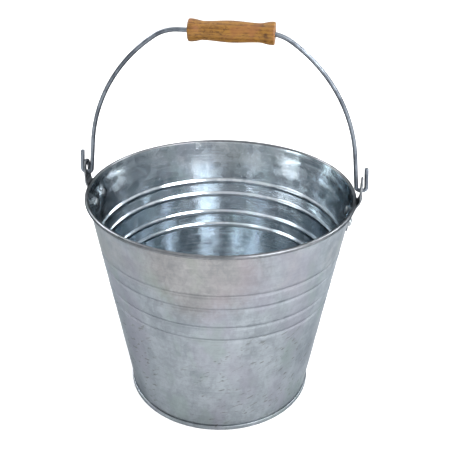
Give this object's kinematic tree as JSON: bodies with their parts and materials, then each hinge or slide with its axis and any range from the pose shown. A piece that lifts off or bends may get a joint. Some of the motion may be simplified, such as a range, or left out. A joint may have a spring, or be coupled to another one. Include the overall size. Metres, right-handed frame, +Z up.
{
  "type": "florist bucket",
  "caption": "Flared galvanised sheet-steel bucket with pressed rings, riveted ears and a swinging wire bail that carries a turned wooden grip.",
  "frame": {"origin": "on the floor at the middle of the base, under the upright bail", "axes": "+Z up, +X along the line through the two ears, +Y square to it, level"},
  "size_m": [0.311, 0.29, 0.4245],
  "materials": {
    "galvanised_sheet": "hot-dip galvanised, satin, faint spangle",
    "galvanised_base": "hot-dip galvanised, satin",
    "steel_wire": "drawn steel wire",
    "ear_steel": "galvanised pressing, dull",
    "rivet_steel": "galvanised rivet, dull",
    "bail_steel": "dull galvanised wire",
    "varnished_wood": "turned wood, clear varnish"
  },
  "bodies": {
    "bucket": {"body_shell": "galvanised_sheet", "rim_wire": "steel_wire", "base_plate": "galvanised_base", "ear_right": "ear_steel", "ear_left": "ear_steel", "ear_rivets": "rivet_steel"},
    "bail": {"bail_wire": "bail_steel"},
    "grip": {"wood_grip": "varnished_wood"}
  },
  "joints": [
    {"name": "bail_swing", "type": "hinge", "parent": "bucket", "child": "bail", "pos_m": [0, 0, 0.25484], "axis": [1, 0, 0], "range_deg": [-98, 98]},
    {"name": "grip_spin", "type": "hinge", "parent": "bail", "child": "grip", "pos_m": [0.0094, 0, 0.41334], "axis": [1, 0, 0], "continuous": true}
  ]
}
